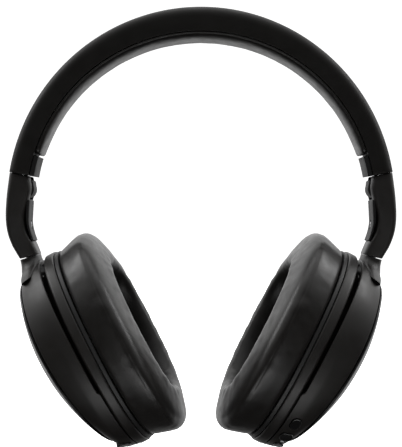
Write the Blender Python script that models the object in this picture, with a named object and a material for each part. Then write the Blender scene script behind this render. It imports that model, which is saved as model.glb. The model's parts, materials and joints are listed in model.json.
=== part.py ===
"""Over-ear headphones, built the way the real ones come apart.

The headband holds a spring steel strip between a moulded shell and a cushion.  On each side a steel
slider comes out of the headband's end, an arm folds on the slider's knuckle, an outer shell swivels
under the arm, and the ear cup tilts inside the outer shell.  X runs from the left side to the right
side, Y from front to back and Z up.  The origin is on the cushion's underside, at the crown.

Every side part is made once, for the left side.  The right side uses the same mesh under an empty
that mirrors it, and only the outer shells differ, in their buttons and ports.
"""

from math import atan2, cos, pi, radians, sin

import bmesh
import bpy
from mathutils import Matrix, Vector

# All lengths are in millimetres; MM turns them into metres when a mesh or an empty is made.
MM = 0.001
GAP = 0.3                    # clearance between pieces that touch on the real object

# Headband: radii from the arch's centre and half widths, as (at the crown, change by the ends)
INNER_RADIUS = (75.5, 1.6)
OUTER_RADIUS = (91.8, -2.2)
CUSHION_DEPTH = (4.0, -0.8)
BAND_HALF_WIDTH = (17.0, -2.5)
SHELL_WALL = 2.2
SHELL_END = 80.3             # angles from the crown, in degrees
CUSHION_END = 73.0
BASE_END = 61.2
SPRING_END = 60.0
WIRE_END = 54.0
SHELL_STEPS = 25
CUSHION_STEPS = 25
BASE_THICKNESS = 1.2
SPRING_RADIUS = 82.0
SPRING_THICKNESS = 0.7
SPRING_HALF_WIDTH = 6.5
WIRE_RADIUS = 86.0
WIRE_THICKNESS = 1.6
BAND_CENTRE_Z = -INNER_RADIUS[0] * cos(radians(CUSHION_END / CUSHION_STEPS))

# Slider: a straight steel strip that runs out of the headband's end
SLIDE_START = Vector((-81.4, 0.0, -63.4))
SLIDE_LEAN = radians(15.07)
STRIP_LENGTH = 36.0
STRIP_WIDTH = 12.0
STRIP_THICKNESS = 1.8
STRIP_ROOT = 2.2             # how far the strip reaches down into the knuckle
NOTCHES = 7
NOTCH_PITCH = 3.6
NOTCH_DEPTH = 0.8

# Fold hinge
FOLD_AXIS = Vector((-81.6, 0.0, -68.1))
BARREL_RADIUS = 4.5
BARREL_HALF_WIDTH = 8.1
FOLD_PIN_RADIUS = 1.25
CLEVIS_CLEARANCE = 0.4

# Arm: (outer edge x, z, inner edge x, z, half width) down the arm; the liner covers the inner side
ARM_STATIONS = (
    (-88.4, -61.2, -79.4, -63.1, 12.6),
    (-89.3, -66.9, -79.1, -67.6, 13.0),
    (-89.9, -72.4, -80.9, -72.9, 12.8),
    (-90.3, -79.0, -81.2, -79.4, 12.4),
    (-90.1, -84.4, -80.9, -84.0, 11.9),
    (-89.2, -89.3, -79.8, -88.4, 11.4),
    (-87.5, -94.0, -78.3, -92.6, 11.0),
    (-87.2, -94.6, -77.0, -93.0, 10.9),
    (-85.6, -97.4, -75.9, -95.6, 10.7),
    (-83.8, -100.4, -74.9, -98.2, 10.4),
)
LINER_STATIONS = (
    (-80.6, -73.4, -78.7, -73.2, 11.6),
    (-80.9, -79.4, -79.0, -79.2, 11.6),
    (-80.6, -83.9, -79.1, -83.6, 11.2),
    (-79.5, -88.2, -78.3, -87.8, 10.8),
    (-78.0, -92.3, -76.9, -91.8, 10.4),
)
ARM_CHAMBERS = (
    ((-87.6, -76.2, -79.0, -76.4, 9.6), (-87.9, -80.6, -79.0, -80.8, 9.4)),
    ((-87.4, -88.0, -78.0, -87.0, 8.6), (-85.6, -92.4, -76.6, -91.2, 8.0)),
)
SCREW_PLACE = Vector((-80.0, 0.0, -84.6))

# Swivel: the shaft's axis leans with the arm, and the shell is turned a little to the front on it
SWIVEL_PLACE = Vector((-79.2, 0.0, -99.6))
SWIVEL_LEAN = radians(-13.7)
TOE_OUT = radians(-5.0)
SHAFT_RADIUS = 2.4
SHAFT_BORE = 1.3
SHAFT_TOP = 9.0
SHAFT_BOTTOM = -11.3

# Ear cup frame: x to the head, y to the back, z up along the cup
CUP_CENTRE = Vector((-44.6, 0.0, -139.9))
CUP_LEAN = radians(-27.2)
TILT_AXIS = Vector((-9.5, 0.0, -22.5))
OVAL_POINTS = 28
OVAL_POWER = 2.3
CAP_SLANT = 0.062            # the outer cap leans in towards the bottom of the cup
CAP_BOW = 5.0                # and its rim stands this much further out half way up the sides
BOW_HEIGHT = 43.2

# Ovals as (x, half height, half width, slant, bow)
SHELL_OVALS = (
    (-6.2, 48.4, 39.6, 0.0, 0.0), (-12.0, 47.3, 38.6, 0.01, 0.3), (-15.4, 45.4, 36.9, 0.035, 2.0),
    (-16.9, 43.2, 35.0, CAP_SLANT, CAP_BOW), (-16.9, 40.4, 32.4, CAP_SLANT, CAP_BOW),
    (-14.4, 42.9, 34.6, 0.035, 2.0), (-12.0, 45.0, 36.4, 0.01, 0.3), (-6.2, 46.4, 37.6, 0.0, 0.0),
)
SLOT_EDGE = -8.2             # the shell is cut back to here above the tilt axis
SLOT_END = -18.8
CAP_OVALS = (
    (-27.5, 9.0, 9.0, 0.0), (-21.8, 17.0, 13.8, CAP_BOW), (-20.1, 27.0, 21.7, CAP_BOW),
    (-18.2, 36.0, 28.8, CAP_BOW), (-15.9, 38.3, 30.5, CAP_BOW), (-15.9, 39.9, 32.0, CAP_BOW),
    (-17.4, 40.0, 32.1, CAP_BOW), (-17.5, 42.4, 34.3, CAP_BOW), (-18.3, 42.2, 34.1, CAP_BOW),
    (-20.2, 35.5, 28.6, CAP_BOW), (-22.3, 25.5, 20.6, CAP_BOW), (-23.7, 16.3, 13.2, CAP_BOW),
    (-29.1, 9.0, 9.0, 0.0),
)
CHASSIS_OVALS = ((-20.0, 33.0, 25.6), (-18.8, 33.6, 26.2))
HOUSING_OVALS = (
    (-14.0, 35.6, 27.6), (-13.0, 37.3, 29.3), (-6.6, 43.4, 34.8), (-5.8, 47.9, 39.2),
    (-5.0, 48.7, 40.0), (-1.6, 48.7, 40.0), (-0.9, 48.1, 39.4), (-0.9, 42.7, 34.1),
    (-6.0, 41.7, 33.1), (-12.2, 35.4, 27.4),
)
CARRIER_OVALS = ((-0.6, 47.6, 38.9), (1.2, 47.6, 38.9), (1.2, 34.0, 25.6), (-0.6, 34.0, 25.6))
PAD_OVALS = (
    (1.5, 47.8, 39.1), (6.5, 49.3, 40.4), (12.4, 49.7, 40.8), (15.8, 47.5, 38.8), (17.2, 42.8, 34.3),
    (17.2, 36.0, 27.4), (15.6, 30.4, 21.8), (9.0, 28.0, 19.4), (1.5, 31.2, 22.4),
)
SCRIM_OVALS = ((1.6, 30.2, 21.4), (2.2, 30.0, 21.2))
BAFFLE_FACES = (-2.8, -1.3)
DRIVER_HOLE = 20.3
DRIVER_FRAME = (
    (-9.8, 9.5), (-6.8, 9.5), (-6.4, 15.0), (-4.4, 20.0), (-1.4, 20.0), (-1.4, 18.4), (-3.9, 17.6),
)
DIAPHRAGM = ((-3.6, 17.1), (-3.2, 17.1), (-1.9, 13.0), (-2.5, 8.6), (-1.7, 3.0))
MAGNET = ((-11.7, 7.6), (-10.1, 7.6))

# Controls round the lower front edge of the shells: angle from the bottom towards the front
CONTROL_X = -11.0
CONTROL_OVAL = (47.5, 38.75)
CONTROL_TAPER = radians(13.0)
BUTTONS = {
    "function_button": ("left", 20.0, 3.4, 2.0),
    "power_button": ("right", 36.0, 3.0, 3.0),
    "volume_up_button": ("right", 50.5, 2.2, 3.2),
    "volume_down_button": ("right", 21.0, 2.2, 2.6),
}
BUTTON_DEPTH = 3.2
BUTTON_PROUD = 0.5
LIGHT_ANGLE = 28.5
LIGHT_RADIUS = 0.8
PORT_HALF_WIDTH = 4.45
PORT_HALF_HEIGHT = 1.6

SIDES = {"left": 1.0, "right": -1.0}


# ---------------------------------------------------------------------------------------- frames

def turn(axis, angle):
    return Matrix.Rotation(angle, 4, axis)


WORLD = Matrix.Identity(4)
SLIDE = Matrix.Translation(SLIDE_START) @ turn("Y", SLIDE_LEAN)
FOLD = Matrix.Translation(FOLD_AXIS)
SWIVEL_UNTURNED = Matrix.Translation(SWIVEL_PLACE) @ turn("Y", SWIVEL_LEAN)
SWIVEL = SWIVEL_UNTURNED @ turn("Z", TOE_OUT)
CUP_UNTURNED = Matrix.Translation(CUP_CENTRE) @ turn("Y", CUP_LEAN)
CUP = SWIVEL @ SWIVEL_UNTURNED.inverted() @ CUP_UNTURNED
TILT = CUP @ Matrix.Translation(TILT_AXIS)

FRAMES = {"band": WORLD, "slide": SLIDE, "fold": FOLD, "swivel": SWIVEL, "tilt": TILT}
FRAME_PARENTS = {"slide": "band", "fold": "slide", "swivel": "fold", "tilt": "swivel"}


def clear_scene():
    for thing in list(bpy.data.objects):
        bpy.data.objects.remove(thing, do_unlink=True)


def in_metres(matrix):
    """The same placement with its offset turned from millimetres into metres."""
    scaled = matrix.copy()
    scaled.translation = matrix.translation * MM
    return scaled


def add_empties():
    """One chain of empties for each side, with each one's origin on its joint's axis."""
    empties = {}
    for side, sign in SIDES.items():
        for name, frame in FRAMES.items():
            empty = bpy.data.objects.new(f"{name}_{side}_axis", None)
            empty.empty_display_size = 10 * MM
            bpy.context.collection.objects.link(empty)
            empties[name, side] = empty
            if name == "band":
                empty.scale = (sign, 1.0, 1.0)
                continue
            above = FRAME_PARENTS[name]
            empty.parent = empties[above, side]
            empty.matrix_basis = in_metres(FRAMES[above].inverted() @ frame)
    return empties


# ----------------------------------------------------------------------------------- mesh helpers

def skin(rings, closed=False):
    """Join rings of points with quads; a closed skin has no ends, an open one has both capped."""
    bm = bmesh.new()
    loops = [[bm.verts.new(point) for point in ring] for ring in rings]
    pairs = list(zip(loops, loops[1:]))
    if closed:
        pairs.append((loops[-1], loops[0]))
    else:
        bm.faces.new(loops[0])
        bm.faces.new(loops[-1])
    for near, far in pairs:
        for i in range(len(near)):
            j = (i + 1) % len(near)
            bm.faces.new((near[i], near[j], far[j], far[i]))
    bmesh.ops.recalc_face_normals(bm, faces=bm.faces)
    return bm


def prism(outline, axis, low, high):
    """An outline of (a, b) points pushed along an axis from low to high."""
    order = {"X": lambda a, b, d: (d, a, b), "Y": lambda a, b, d: (a, d, b),
             "Z": lambda a, b, d: (a, b, d)}[axis]
    return skin([[Vector(order(a, b, d)) for a, b in outline] for d in (low, high)])


def circle(radius, points=16, squash=1.0):
    """Points round a circle, or round an ellipse when squash isn't 1."""
    turns = [2 * pi * (i + 0.5) / points for i in range(points)]
    return [(radius * cos(a), squash * radius * sin(a)) for a in turns]


def rectangle(half_a, half_b):
    return [(-half_a, -half_b), (half_a, -half_b), (half_a, half_b), (-half_a, half_b)]


def rounded(a, b, power, points):
    """Points round a superellipse with half sizes a and b."""
    ring = []
    for i in range(points):
        angle = 2 * pi * (i + 0.5) / points
        c, s = cos(angle), sin(angle)
        ring.append((a * abs(c) ** (2 / power) * (1 if c > 0 else -1),
                     b * abs(s) ** (2 / power) * (1 if s > 0 else -1)))
    return ring


def oval(x, half_height, half_width, slant=0.0, bow=0.0, points=OVAL_POINTS):
    """A cup oval at depth x; slant moves its top outwards, and bow the middle of its sides."""
    ring = rounded(half_height, half_width, OVAL_POWER, points)
    return [Vector((x - slant * z - bow * (1 - (z / BOW_HEIGHT) ** 2), y, z)) for z, y in ring]


def disc(x, radius, points=24):
    return [Vector((x, y, z)) for z, y in circle(radius, points)]


def move(bm, matrix):
    bmesh.ops.transform(bm, matrix=matrix, verts=bm.verts)
    return bm


def to_mesh(bm, name):
    mesh = bpy.data.meshes.new(name)
    bm.to_mesh(mesh)
    bm.free()
    return mesh


def combine(base, tool, operation):
    """The exact union or difference of two meshes, both in the same frame."""
    target = bpy.data.objects.new("target", to_mesh(base, "target"))
    cutter = bpy.data.objects.new("cutter", to_mesh(tool, "cutter"))
    for thing in (target, cutter):
        bpy.context.collection.objects.link(thing)
    modifier = target.modifiers.new("combine", "BOOLEAN")
    modifier.object = cutter
    modifier.operation = operation
    modifier.solver = "EXACT"
    bpy.context.view_layer.update()
    evaluated = target.evaluated_get(bpy.context.evaluated_depsgraph_get())
    result = bmesh.new()
    result.from_mesh(evaluated.to_mesh())
    evaluated.to_mesh_clear()
    for thing in (target, cutter):
        mesh = thing.data
        bpy.data.objects.remove(thing)
        bpy.data.meshes.remove(mesh)
    return result


def cut(base, tool):
    return combine(base, tool, "DIFFERENCE")


def join(base, tool):
    return combine(base, tool, "UNION")


# -------------------------------------------------------------------------------------- materials

MATERIALS = {
    "shell_plastic": ((0.013, 0.012, 0.012), 0.42, 0.0),
    "cap_plastic": ((0.010, 0.010, 0.010), 0.32, 0.0),
    "gloss_plastic": ((0.012, 0.012, 0.013), 0.18, 0.0),
    "leatherette": ((0.014, 0.013, 0.013), 0.48, 0.0),
    "inner_plastic": ((0.030, 0.029, 0.029), 0.60, 0.0),
    "scrim_cloth": ((0.010, 0.010, 0.010), 0.92, 0.0),
    "steel": ((0.36, 0.36, 0.37), 0.30, 1.0),
    "circuit_board": ((0.012, 0.085, 0.035), 0.45, 0.0),
    "battery_foil": ((0.42, 0.43, 0.45), 0.35, 0.6),
    "diaphragm_film": ((0.10, 0.095, 0.09), 0.35, 0.0),
    "light_pipe": ((0.75, 0.78, 0.80), 0.25, 0.0),
}


def make_materials():
    made = {}
    for name, (colour, roughness, metallic) in MATERIALS.items():
        material = bpy.data.materials.new(name)
        material.use_nodes = True
        shader = material.node_tree.nodes["Principled BSDF"]
        shader.inputs["Base Color"].default_value = (*colour, 1.0)
        shader.inputs["Roughness"].default_value = roughness
        shader.inputs["Metallic"].default_value = metallic
        made[name] = material
    return made


class Builder:
    """Adds finished parts under the empty that each one moves with."""

    def __init__(self):
        self.empties = add_empties()
        self.materials = make_materials()

    def add(self, name, bm, made_in, frame, material, sides=("left", "right")):
        """Put a part made in one frame under another frame's empty, on one side or both."""
        move(bm, Matrix.Scale(MM, 4) @ FRAMES[frame].inverted() @ made_in)
        mesh = to_mesh(bm, name)
        mesh.materials.append(self.materials[material])
        mesh.shade_smooth()
        mesh.set_sharp_from_angle(angle=radians(32))
        for side in sides:
            full_name = f"{name}_{side}" if len(sides) > 1 else name
            part = bpy.data.objects.new(full_name, mesh)
            part.parent = self.empties[frame, side]
            bpy.context.collection.objects.link(part)


# --------------------------------------------------------------------------------------- headband

def along(pair, angle):
    """A headband size at an angle from the crown, from its (crown value, change by the end)."""
    return pair[0] + pair[1] * sin(angle) ** 2


def band_ring(angle, section):
    """A section's (radius, y) points, placed across the arch at an angle from the crown."""
    return [Vector((-r * sin(angle), y, BAND_CENTRE_Z + r * cos(angle))) for r, y in section]


def band_sweep(section_at, start, end, steps):
    """Sweep a section that may change on its way round the arch; angles in degrees."""
    angles = [radians(start + (end - start) * i / steps) for i in range(steps + 1)]
    return skin([band_ring(angle, section_at(angle)) for angle in angles])


def edge_radius(angle):
    """Where the shell's side walls end and the cushion begins."""
    return along(INNER_RADIUS, angle) + along(CUSHION_DEPTH, angle)


def shell_section(angle):
    edge, outer = edge_radius(angle), along(OUTER_RADIUS, angle)
    half, wall = along(BAND_HALF_WIDTH, angle), SHELL_WALL
    side = [(edge, -half), (outer - 4.2, -half), (outer - 1.3, -half + 1.2), (outer, -half + 4.6)]
    inside = [(edge, wall - half), (outer - wall - 2.4, wall - half), (outer - wall, wall - half + 2.6)]
    mirrored_side = [(r, -y) for r, y in reversed(side)]
    mirrored_inside = [(r, -y) for r, y in inside]
    return side + mirrored_side + mirrored_inside + inside[::-1]


def cushion_section(angle):
    inner, edge = along(INNER_RADIUS, angle), edge_radius(angle) - GAP
    half = along(BAND_HALF_WIDTH, angle)
    side = [(edge, 0.4 - half), (inner + 1.5, 0.7 - half), (inner + 0.4, 2.6 - half), (inner, 6.0 - half)]
    return side + [(r, -y) for r, y in reversed(side)]


def base_section(angle):
    edge, half = edge_radius(angle) + GAP, along(BAND_HALF_WIDTH, angle) - SHELL_WALL - GAP
    return [(edge, -half), (edge + BASE_THICKNESS, -half), (edge + BASE_THICKNESS, half), (edge, half)]


def spring_section(_angle):
    low, high = SPRING_RADIUS + 0.1, SPRING_RADIUS + SPRING_THICKNESS
    return [(low, -SPRING_HALF_WIDTH), (high, -SPRING_HALF_WIDTH),
            (high, SPRING_HALF_WIDTH), (low, SPRING_HALF_WIDTH)]


def wire_section(_angle):
    return [(WIRE_RADIUS + a, b) for a, b in circle(WIRE_THICKNESS / 2, 6)]


def build_headband(builder):
    parts = (
        ("headband_shell", shell_section, SHELL_END, SHELL_STEPS, "shell_plastic"),
        ("headband_cushion", cushion_section, CUSHION_END, CUSHION_STEPS, "leatherette"),
        ("cushion_base", base_section, BASE_END, 19, "inner_plastic"),
        ("headband_spring", spring_section, SPRING_END, 19, "steel"),
        ("link_wire", wire_section, WIRE_END, 19, "inner_plastic"),
    )
    for name, section, end, steps, material in parts:
        bm = band_sweep(section, -end, end, steps)
        builder.add(name, bm, WORLD, "band", material, sides=("left",))


def sleeve_section(angle, stage):
    """The slider's guide: inside the shell, then just clear of its edge, then full width below it."""
    edge, outer = edge_radius(angle), along(OUTER_RADIUS, angle) - SHELL_WALL - 2 * GAP
    half = along(BAND_HALF_WIDTH, angle)
    narrow = half - SHELL_WALL - GAP
    low, step, wide = {
        "inside": (edge, edge + 0.15, narrow),
        "lip": (edge - GAP - 0.15, edge - GAP, narrow),
        "full": (along(INNER_RADIUS, angle) + 0.9, edge - GAP, half - 0.4),
    }[stage]
    side = [(low, -wide), (step, -wide), (step + 0.1, -narrow), (outer - 2.4, -narrow), (outer, 2.6 - narrow)]
    return side + [(r, -y) for r, y in reversed(side)]


def build_end_sleeve(builder):
    """The guide that the slider runs in, with a leaf spring that rides in its notches."""
    stops = ((62.0, "inside"), (67.5, "inside"), (73.3, "inside"), (73.4, "lip"), (73.5, "full"),
             (77.0, "full"), (SHELL_END, "full"))
    rings = [band_ring(radians(angle), sleeve_section(radians(angle), stage)) for angle, stage in stops]
    sleeve = skin(rings)
    slot = prism(rectangle(STRIP_THICKNESS / 2 + GAP, STRIP_WIDTH / 2 + GAP), "Z", -10.0, 50.0)
    pocket = prism([(-4.0, 2.0), (0.0, 2.0), (0.0, 16.0), (-4.0, 16.0)], "Y", -4.0, 4.0)
    sleeve = cut(sleeve, move(slot, SLIDE))
    sleeve = cut(sleeve, move(pocket, SLIDE))
    builder.add("end_sleeve", sleeve, WORLD, "band", "inner_plastic")
    rings = []
    for z, sag in ((3.0, 0.0), (6.0, 0.6), (9.0, 1.6), (12.0, 0.6), (15.0, 0.0)):
        x = -STRIP_THICKNESS / 2 - GAP - 2.0 + sag
        rings.append([Vector((x + a, b, z)) for a, b in rectangle(0.25, 3.4)])
    builder.add("detent_spring", skin(rings), SLIDE, "band", "steel")


# ----------------------------------------------------------------------------------------- slider

def build_slider_strip(builder):
    """A flat steel strip, with a row of notches along its front and back edges."""
    half, bottom, top = STRIP_WIDTH / 2, -STRIP_ROOT, STRIP_LENGTH - STRIP_ROOT
    edge = [(half, bottom)]
    for i in range(NOTCHES):
        z = 5.0 + i * NOTCH_PITCH
        edge += [(half, z - 0.8), (half - NOTCH_DEPTH, z), (half, z + 0.8)]
    edge += [(half, top - 2.0), (half - 2.0, top)]
    outline = edge + [(-y, z) for y, z in reversed(edge)]
    strip = prism(outline, "X", -STRIP_THICKNESS / 2, STRIP_THICKNESS / 2)
    builder.add("slider_strip", strip, SLIDE, "slide", "steel")


def build_hinge_knuckle(builder):
    """The barrel that the arm folds on, with a block above it that holds the strip."""
    turns = [radians(20 - 220 * i / 14) for i in range(15)]
    arc = [(FOLD_AXIS.x + BARREL_RADIUS * cos(a), FOLD_AXIS.z + BARREL_RADIUS * sin(a)) for a in turns]
    outline = arc + [(-85.4, -63.9), (-85.1, -63.3), (-78.2, -63.9), (-77.6, -64.4)]
    knuckle = prism(outline, "Y", -BARREL_HALF_WIDTH, BARREL_HALF_WIDTH)
    pocket = prism(rectangle(STRIP_THICKNESS / 2 + GAP, STRIP_WIDTH / 2 + GAP), "Z", -STRIP_ROOT - GAP, 9.0)
    knuckle = cut(knuckle, move(pocket, SLIDE))
    hole = prism(circle(FOLD_PIN_RADIUS + GAP, 12), "Y", -12.0, 12.0)
    knuckle = cut(knuckle, move(hole, FOLD))
    builder.add("hinge_knuckle", knuckle, WORLD, "slide", "gloss_plastic")


# -------------------------------------------------------------------------------------------- arm

def arm_loft(stations, power=4.5, points=16):
    """Rounded sections between each station's outer edge and inner edge."""
    rings = []
    for outer_x, outer_z, inner_x, inner_z, half_width in stations:
        outer, inner = Vector((outer_x, 0.0, outer_z)), Vector((inner_x, 0.0, inner_z))
        middle, reach = (outer + inner) / 2, (inner - outer) / 2
        ring = rounded(1.0, half_width, power, points)
        rings.append([middle + reach * a + Vector((0.0, y, 0.0)) for a, y in ring])
    return skin(rings)


def build_arm(builder):
    """The arm's cover, its liner on the inner side, the fold pin and the liner's screw."""
    cover = arm_loft(ARM_STATIONS)
    cavity = BARREL_RADIUS + CLEVIS_CLEARANCE
    turns = [pi + (pi / 2) * i / 6 for i in range(7)]
    outline = [(FOLD_AXIS.x - cavity, -55.0)]
    outline += [(FOLD_AXIS.x + cavity * cos(a), FOLD_AXIS.z + cavity * sin(a)) for a in turns]
    outline += [(-70.0, FOLD_AXIS.z - cavity), (-70.0, -55.0)]
    cover = cut(cover, prism(outline, "Y", -BARREL_HALF_WIDTH - GAP, BARREL_HALF_WIDTH + GAP))
    pin_hole = prism(circle(FOLD_PIN_RADIUS + GAP, 12), "Y", -11.6, 15.0)
    cover = cut(cover, move(pin_hole, FOLD))
    for chamber in ARM_CHAMBERS:
        cover = cut(cover, arm_loft(chamber, power=8.0, points=8))
    shaft_bore = prism(circle(SHAFT_RADIUS + GAP, 16), "Z", -4.0, SHAFT_TOP + GAP)
    cover = cut(cover, move(shaft_bore, SWIVEL))
    at_screw = Matrix.Translation(SCREW_PLACE)
    screw_hole = prism(circle(1.1, 10), "X", -4.0, 6.0)
    cover = cut(cover, move(screw_hole.copy(), at_screw))
    builder.add("arm_cover", cover, WORLD, "fold", "shell_plastic")

    liner = arm_loft(LINER_STATIONS, power=6.0, points=12)
    liner = cut(liner, move(screw_hole, at_screw))
    head_recess = prism(circle(1.9, 12), "X", 0.35, 4.0)
    liner = cut(liner, move(head_recess, at_screw))
    builder.add("arm_liner", liner, WORLD, "fold", "inner_plastic")

    pin = prism(circle(FOLD_PIN_RADIUS, 12), "Y", -11.3, 12.2)
    builder.add("fold_pin", pin, FOLD, "fold", "steel")

    steps = ((-3.6, 0.75), (0.65, 0.75), (0.65, 1.5), (1.15, 1.5))
    screw = skin([disc(x, radius, 10) for x, radius in steps])
    builder.add("arm_screw", screw, at_screw, "fold", "steel")


def build_swivel_shaft(builder):
    """A hollow shaft held in the arm, with a clip that keeps the neck of the shell on it."""
    steps = ((SHAFT_BOTTOM, SHAFT_RADIUS), (SHAFT_TOP, SHAFT_RADIUS), (SHAFT_TOP, SHAFT_BORE),
             (SHAFT_BOTTOM, SHAFT_BORE))
    shaft = skin([[Vector((a, b, z)) for a, b in circle(r, 14)] for z, r in steps], closed=True)
    builder.add("swivel_shaft", shaft, SWIVEL, "fold", "steel")
    steps = ((-10.7, 3.5), (-9.8, 3.5), (-9.8, SHAFT_RADIUS + GAP), (-10.7, SHAFT_RADIUS + GAP))
    clip = skin([[Vector((a, b, z)) for a, b in circle(r, 14)] for z, r in steps], closed=True)
    builder.add("shaft_clip", clip, SWIVEL, "fold", "steel")


# ------------------------------------------------------------------------------------ outer shell

def edge_frame(angle):
    """A frame on the shell's outer surface: z out of the shell, x to the head, y along the edge."""
    half_height, half_width = CONTROL_OVAL
    c, s = cos(angle), sin(angle)
    z = -half_height * abs(c) ** (2 / OVAL_POWER)
    y = -half_width * abs(s) ** (2 / OVAL_POWER)
    power = OVAL_POWER - 1
    out_y = -(abs(y) / half_width) ** power / half_width
    out_z = -(abs(z) / half_height) ** power / half_height
    lean = atan2(out_y, out_z)
    return Matrix.Translation((CONTROL_X, y, z)) @ turn("X", -lean) @ turn("Y", -CONTROL_TAPER)


def neck_rings():
    """The neck, from its seam with the arm down into the top of the shell, in the cup frame."""
    stations = (
        (-16.9, 52.3, -8.3, 50.7, 10.2),
        (-17.6, 49.8, -10.4, 49.3, 10.4),
        (-18.9, 46.5, -10.5, 47.4, 12.5),
        (-20.2, 43.6, -10.6, 45.6, 17.0),
        (-20.4, 41.4, -10.7, 42.2, 21.0),
    )
    return arm_loft(stations, power=2.8, points=16)


def tilt_pin_frames():
    """The two ends of the tilt axis, each with z pointing out of the cup."""
    return {"front": Matrix.Translation(TILT_AXIS) @ turn("X", pi / 2),
            "rear": Matrix.Translation(TILT_AXIS) @ turn("X", -pi / 2)}


def build_outer_shell(builder, side):
    """A tapered shell with the swivel's neck, cut back above the tilt axis so that the cup can tilt."""
    rings = [oval(*measures) for measures in SHELL_OVALS]
    shell = skin(rings, closed=True)
    slot = prism([(SLOT_EDGE, SLOT_END), (9.0, SLOT_END), (9.0, 60.0), (SLOT_EDGE, 60.0)], "Y", -60.0, 60.0)
    shell = cut(shell, slot)
    shell = join(shell, neck_rings())
    for frame in tilt_pin_frames().values():
        shell = join(shell, move(prism(circle(2.5, 12), "Z", 32.3, 34.8), frame))
    to_cup = CUP.inverted() @ SWIVEL
    shell = cut(shell, move(prism(circle(SHAFT_RADIUS + GAP, 14), "Z", -16.0, 4.0), to_cup))
    shell = cut(shell, move(prism(circle(3.8, 14), "Z", -16.0, -9.5), to_cup))
    for frame in tilt_pin_frames().values():
        shell = cut(shell, move(prism(circle(1.6, 12), "Z", 29.0, 34.3), frame))
    for button_side, angle, half_x, half_y in BUTTONS.values():
        if button_side == side:
            hole = prism(rounded(half_x + GAP, half_y + GAP, 2.6, 14), "Z", -5.0, 4.0)
            shell = cut(shell, move(hole, edge_frame(radians(angle))))
    if side == "left":
        hole = prism(rounded(PORT_HALF_HEIGHT + GAP, PORT_HALF_WIDTH + GAP, 4.0, 14), "Z", -5.0, 4.0)
        shell = cut(shell, move(hole, edge_frame(0.0)))
    else:
        hole = prism(circle(LIGHT_RADIUS + GAP, 10), "Z", -5.0, 4.0)
        shell = cut(shell, move(hole, edge_frame(radians(LIGHT_ANGLE))))
    builder.add(f"outer_shell_{side}", shell, CUP, "swivel", "shell_plastic", sides=(side,))


def build_outer_cap(builder):
    """The domed cover plate, with a flat round centre and a lip that plugs into the shell."""
    rings = [oval(x, high, wide, CAP_SLANT, bow) for x, high, wide, bow in CAP_OVALS]
    builder.add("outer_cap", skin(rings), CUP, "swivel", "cap_plastic")
    rings = [oval(x, high, wide, CAP_SLANT) for x, high, wide in CHASSIS_OVALS]
    builder.add("chassis_plate", skin(rings), CUP, "swivel", "inner_plastic")


def build_tilt_pins(builder):
    for end, frame in tilt_pin_frames().items():
        pin = prism(circle(1.3, 10), "Z", 26.6, 34.0)
        builder.add(f"tilt_pin_{end}", pin, CUP @ frame, "swivel", "steel")


def build_electronics(builder):
    """The battery in the left shell and the circuit board in the right one, on their chassis."""
    on_chassis = CUP @ Matrix.Translation((-20.3, 0.0, 0.0)) @ turn("Y", -atan2(CAP_SLANT, 1.0))
    battery = prism(rounded(11.0, 15.0, 8.0, 16), "X", -4.2, 0.0)
    builder.add("battery", battery, on_chassis, "swivel", "battery_foil", sides=("left",))
    board = prism(rounded(14.0, 19.0, 8.0, 16), "X", -1.2, 0.0)
    builder.add("circuit_board", board, on_chassis, "swivel", "circuit_board", sides=("right",))


def build_controls(builder):
    """Buttons, charge port and status light, in holes round the shells' lower front edges."""
    for name, (side, angle, half_x, half_y) in BUTTONS.items():
        steps = ((-BUTTON_DEPTH, 1.0), (BUTTON_PROUD - 0.35, 1.0), (BUTTON_PROUD, 0.84))
        rings = []
        for z, scale in steps:
            ring = rounded(half_x * scale, half_y * scale, 2.6, 14)
            rings.append([Vector((x, y, z)) for x, y in ring])
        button = skin(rings)
        builder.add(name, button, CUP @ edge_frame(radians(angle)), "swivel", "gloss_plastic", sides=(side,))

    steps = ((-4.9, 0.0), (-0.1, 0.0), (-0.1, 0.4), (-4.0, 0.4))
    rings = []
    for z, inset in steps:
        ring = rounded(PORT_HALF_HEIGHT - inset, PORT_HALF_WIDTH - inset, 4.0, 12)
        rings.append([Vector((x, y, z)) for x, y in ring])
    builder.add("charge_port", skin(rings), CUP @ edge_frame(0.0), "swivel", "steel", sides=("left",))

    light = prism(circle(LIGHT_RADIUS, 10), "Z", -3.0, 0.05)
    place = CUP @ edge_frame(radians(LIGHT_ANGLE))
    builder.add("status_light", light, place, "swivel", "light_pipe", sides=("right",))


# ---------------------------------------------------------------------------------------- ear cup

def build_cup_housing(builder):
    """The tub that holds the driver, with a broad rim and two holes for the tilt pins."""
    housing = skin([oval(*measures) for measures in HOUSING_OVALS])
    for frame in tilt_pin_frames().values():
        housing = cut(housing, move(prism(circle(1.6, 12), "Z", 25.0, 34.0), frame))
    builder.add("cup_housing", housing, CUP, "tilt", "shell_plastic")


def build_driver(builder):
    """The baffle, and the driver in it: frame, magnet and diaphragm."""
    back, front = BAFFLE_FACES
    rings = [oval(back, 41.8, 33.2, points=24), oval(front, 42.2, 33.6, points=24),
             disc(front, DRIVER_HOLE), disc(back, DRIVER_HOLE)]
    builder.add("baffle", skin(rings, closed=True), CUP, "tilt", "inner_plastic")
    parts = (("driver_frame", DRIVER_FRAME, "inner_plastic", 20), ("diaphragm", DIAPHRAGM, "diaphragm_film", 20),
             ("driver_magnet", MAGNET, "steel", 16))
    for name, steps, material, points in parts:
        part = skin([disc(x, radius, points) for x, radius in steps])
        builder.add(name, part, CUP, "tilt", material)


def build_ear_pad(builder):
    """The pad's carrier plate, the pad and the cloth inside its opening."""
    for name, ovals, closed, material in (
        ("pad_carrier", CARRIER_OVALS, True, "inner_plastic"),
        ("ear_pad", PAD_OVALS, True, "leatherette"),
        ("pad_scrim", SCRIM_OVALS, False, "scrim_cloth"),
    ):
        part = skin([oval(*measures) for measures in ovals], closed=closed)
        builder.add(name, part, CUP, "tilt", material)


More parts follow.
